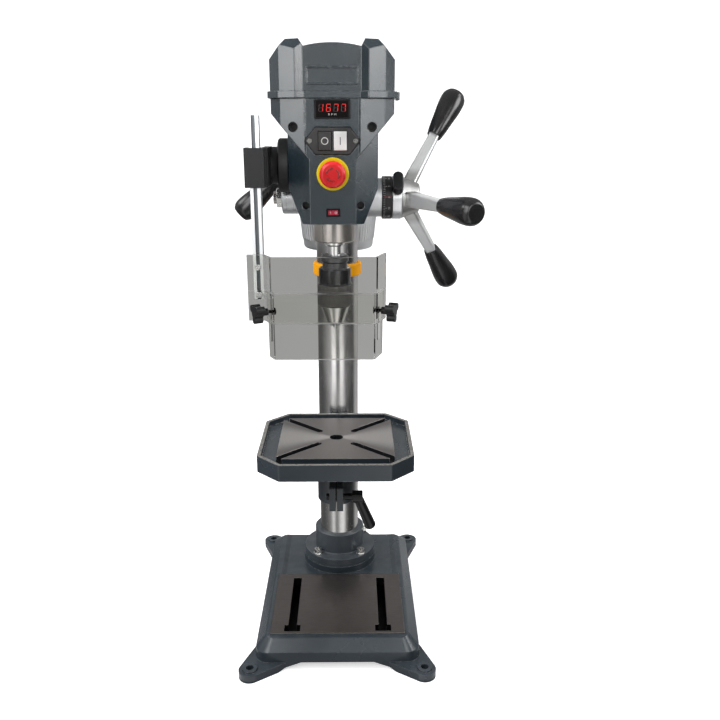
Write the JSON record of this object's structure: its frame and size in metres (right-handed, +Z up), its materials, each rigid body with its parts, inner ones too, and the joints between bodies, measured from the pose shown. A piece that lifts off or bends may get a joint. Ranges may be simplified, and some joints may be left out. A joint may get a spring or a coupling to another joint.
{
  "type": "bench drill",
  "caption": "Bench drill on a round column with slotted base and table, belt-driven head, keyless chuck, three-arm feed and clear swing-up chuck guard.",
  "frame": {"origin": "middle of the four bench bolt holes, on the bench plane", "axes": "+Z up along the column, -Y towards the person at the machine, +X to their right"},
  "size_m": [0.3592, 0.5205, 0.942],
  "materials": {
    "base_paint": "grey gloss paint on cast iron, machined top pad",
    "table_paint": "grey gloss paint on cast iron, ground top",
    "flange_paint": "grey gloss paint on cast iron",
    "cover_paint": "fine-textured blue-grey paint on cast aluminium",
    "column_steel": "ground and polished",
    "ring_orange": "smooth",
    "cast_aluminium": "bare casting, lightly blasted",
    "fastener_steel": "bright zinc plated",
    "fastener_black": "black oxide",
    "ground_steel": "ground",
    "spindle_chrome": "polished",
    "chuck_black": "black oxide",
    "jaw_steel": "hardened and ground",
    "pulley_aluminium": "turned",
    "belt_rubber": "matt",
    "bush_bronze": "turned",
    "spring_steel": "blued",
    "cup_aluminium": "turned",
    "scale_black": "black anodised",
    "grip_black": "gloss",
    "knob_black": "fine texture",
    "lever_black": "satin black",
    "guard_black": "fine texture",
    "profile_aluminium": "clear anodised",
    "shield_clear": "clear",
    "panel_black": "smooth",
    "display_lens": "gloss",
    "button_white": "satin",
    "stop_yellow": "smooth",
    "stop_red": "satin"
  },
  "bodies": {
    "frame": {"base_casting": "base_paint", "column_flange": "flange_paint", "flange_bolts": "fastener_steel", "set_screws": "fastener_steel", "column": "column_steel", "column_ring": "ring_orange", "head_casting": "cast_aluminium", "front_cover": "cover_paint", "cover_screws": "fastener_black", "display_bezel": "panel_black", "display_window": "display_lens", "switch_plate": "panel_black", "switch_screws": "fastener_steel", "estop_collar": "stop_yellow", "rocker_bezel": "panel_black", "sleeve_bearings": "ground_steel", "motor_housing": "cast_aluminium", "feed_bush": "bush_bronze", "spring_cup": "cup_aluminium", "return_spring": "spring_steel", "hinge_pins": "fastener_steel", "guard_pivot": "guard_black", "drive_belt": "belt_rubber"},
    "quill_unit": {"quill": "ground_steel", "spindle_bearings": "ground_steel"},
    "spindle_unit": {"spindle": "spindle_chrome", "chuck_body": "chuck_black"},
    "chuck_ring": {"chuck_sleeve": "chuck_black"},
    "chuck_jaw_1": {"jaw_1": "jaw_steel"},
    "chuck_jaw_2": {"jaw_2": "jaw_steel"},
    "chuck_jaw_3": {"jaw_3": "jaw_steel"},
    "spindle_sheave": {"spindle_pulley": "pulley_aluminium"},
    "motor_rotor": {"motor_shaft": "ground_steel", "motor_pulley": "pulley_aluminium"},
    "feed": {"feed_shaft": "ground_steel", "feed_hub": "cup_aluminium", "feed_grips": "grip_black", "spring_nut": "fastener_steel"},
    "depth_stop_unit": {"depth_scale": "scale_black", "depth_stop": "cup_aluminium"},
    "stop_lock": {"stop_knob": "knob_black"},
    "column_slide": {"arm_bush": "bush_bronze"},
    "arm": {"table_arm": "table_paint"},
    "work_table": {"table": "table_paint"},
    "table_clamp": {"table_clamp_lever": "lever_black"},
    "arm_clamp": {"arm_clamp_lever": "lever_black"},
    "guard_arm": {"guard_bracket": "guard_black"},
    "guard_frame": {"guard_profile": "profile_aluminium", "upper_shield": "shield_clear", "shield_screws": "fastener_steel"},
    "guard_slide": {"lower_shield": "shield_clear"},
    "knob_left": {"guard_knob_left": "knob_black"},
    "knob_right": {"guard_knob_right": "knob_black"},
    "estop_slide": {"estop_stem": "panel_black"},
    "estop_head": {"estop_mushroom": "stop_red"},
    "stop_key": {"stop_button": "panel_black"},
    "start_key": {"start_button": "button_white"},
    "light_rocker": {"rocker": "stop_red"},
    "lid": {"belt_cover": "cover_paint"},
    "belt_lever": {"tension_lever": "grip_black"}
  },
  "joints": [
    {"name": "table_lift", "type": "slide", "parent": "frame", "child": "column_slide", "axis": [0, 0, 1], "range_m": [-0.128, 0.08]},
    {"name": "table_swing", "type": "hinge", "parent": "column_slide", "child": "arm", "pos_m": [0, 0.087, 0.3], "axis": [0, 0, 1], "range_deg": [-90, 90]},
    {"name": "table_turn", "type": "hinge", "parent": "arm", "child": "work_table", "pos_m": [0, -0.105, 0.36], "axis": [0, 0, 1], "range_deg": [-180, 180]},
    {"name": "table_clamp_turn", "type": "hinge", "parent": "arm", "child": "table_clamp", "pos_m": [0, -0.148, 0.287], "axis": [1, 0, 0], "range_deg": [-90, 30]},
    {"name": "arm_clamp_turn", "type": "hinge", "parent": "arm", "child": "arm_clamp", "pos_m": [0, 0.154, 0.287], "axis": [1, 0, 0], "range_deg": [-30, 90]},
    {"name": "quill_feed", "type": "slide", "parent": "frame", "child": "quill_unit", "axis": [0, 0, -1], "range_m": [0, 0.065], "stiffness_N_per_m": 300, "springref_m": -0.3},
    {"name": "feed_turn", "type": "hinge", "parent": "frame", "child": "feed", "pos_m": [0, -0.0635, 0.7325], "axis": [1, 0, 0], "range_deg": [0, 267]},
    {"name": "spindle_spin", "type": "hinge", "parent": "quill_unit", "child": "spindle_unit", "pos_m": [0, -0.105, 0.7], "axis": [0, 0, 1], "continuous": true},
    {"name": "pulley_spin", "type": "hinge", "parent": "frame", "child": "spindle_sheave", "pos_m": [0, -0.105, 0.88], "axis": [0, 0, 1], "continuous": true},
    {"name": "motor_spin", "type": "hinge", "parent": "frame", "child": "motor_rotor", "pos_m": [0, 0.211, 0.88], "axis": [0, 0, 1], "continuous": true},
    {"name": "chuck_sleeve_turn", "type": "hinge", "parent": "spindle_unit", "child": "chuck_ring", "pos_m": [0, -0.105, 0.6], "axis": [0, 0, 1], "range_deg": [-1440, 1007]},
    {"name": "jaw_1_slide", "type": "slide", "parent": "spindle_unit", "child": "chuck_jaw_1", "axis": [0, 0.1564, -0.9877], "range_m": [-0.0201, 0.0141]},
    {"name": "jaw_2_slide", "type": "slide", "parent": "spindle_unit", "child": "chuck_jaw_2", "axis": [-0.1355, -0.0782, -0.9877], "range_m": [-0.0201, 0.0141]},
    {"name": "jaw_3_slide", "type": "slide", "parent": "spindle_unit", "child": "chuck_jaw_3", "axis": [0.1355, -0.0782, -0.9877], "range_m": [-0.0201, 0.0141]},
    {"name": "depth_stop_turn", "type": "hinge", "parent": "feed", "child": "depth_stop_unit", "pos_m": [0.084, -0.0635, 0.7325], "axis": [1, 0, 0], "range_deg": [-180, 180]},
    {"name": "stop_lock_turn", "type": "hinge", "parent": "depth_stop_unit", "child": "stop_lock", "pos_m": [0.09115, -0.08979, 0.74893], "axis": [0, -0.848, 0.5299], "range_deg": [-180, 180]},
    {"name": "guard_swing", "type": "hinge", "parent": "frame", "child": "guard_arm", "pos_m": [-0.08, -0.105, 0.781], "axis": [-1, 0, 0], "range_deg": [0, 100]},
    {"name": "guard_height", "type": "slide", "parent": "guard_arm", "child": "guard_frame", "axis": [0, 0, 1], "range_m": [-0.03, 0.004]},
    {"name": "lower_shield_height", "type": "slide", "parent": "guard_frame", "child": "guard_slide", "axis": [0, 0, 1], "range_m": [0, 0.038]},
    {"name": "guard_knob_left_turn", "type": "hinge", "parent": "guard_frame", "child": "knob_left", "pos_m": [-0.0895, -0.19062, 0.59], "axis": [-0.8924, -0.4513, 0], "range_deg": [-180, 180]},
    {"name": "guard_knob_right_turn", "type": "hinge", "parent": "guard_frame", "child": "knob_right", "pos_m": [0.0645, -0.18375, 0.59], "axis": [0.939, -0.3439, 0], "range_deg": [-180, 180]},
    {"name": "estop_press", "type": "slide", "parent": "frame", "child": "estop_slide", "axis": [0, 1, 0], "range_m": [0, 0.005], "stiffness_N_per_m": 1500, "springref_m": -0.004},
    {"name": "estop_twist", "type": "hinge", "parent": "estop_slide", "child": "estop_head", "pos_m": [0, -0.18, 0.773], "axis": [0, 1, 0], "range_deg": [0, 45], "stiffness_Nm_per_rad": 0.15, "springref_deg": -11.46},
    {"name": "stop_press", "type": "slide", "parent": "frame", "child": "stop_key", "axis": [0, 1, 0], "range_m": [0, 0.003], "stiffness_N_per_m": 700, "springref_m": -0.003},
    {"name": "start_press", "type": "slide", "parent": "frame", "child": "start_key", "axis": [0, 1, 0], "range_m": [0, 0.003], "stiffness_N_per_m": 700, "springref_m": -0.003},
    {"name": "rocker_tilt", "type": "hinge", "parent": "frame", "child": "light_rocker", "pos_m": [0, -0.169, 0.722], "axis": [0, 0, 1], "range_deg": [-9, 9]},
    {"name": "belt_cover_open", "type": "hinge", "parent": "frame", "child": "lid", "pos_m": [-0.092, 0.095, 0.8758], "axis": [0, -1, 0], "range_deg": [0, 95]},
    {"name": "tension_lever_turn", "type": "hinge", "parent": "frame", "child": "belt_lever", "pos_m": [-0.0594, 0.03, 0.783], "axis": [1, 0, 0], "range_deg": [-35, 35]}
  ],
  "couplings": [
    {"joint": "feed_turn", "follows": "quill_feed", "rad_per_m": 71.429},
    {"joint": "pulley_spin", "follows": "spindle_spin", "ratio": 1},
    {"joint": "motor_spin", "follows": "spindle_spin", "ratio": 1.6774},
    {"joint": "jaw_1_slide", "follows": "chuck_sleeve_turn", "m_per_rad": 0.00079577},
    {"joint": "jaw_2_slide", "follows": "chuck_sleeve_turn", "m_per_rad": 0.00079577},
    {"joint": "jaw_3_slide", "follows": "chuck_sleeve_turn", "m_per_rad": 0.00079577}
  ]
}
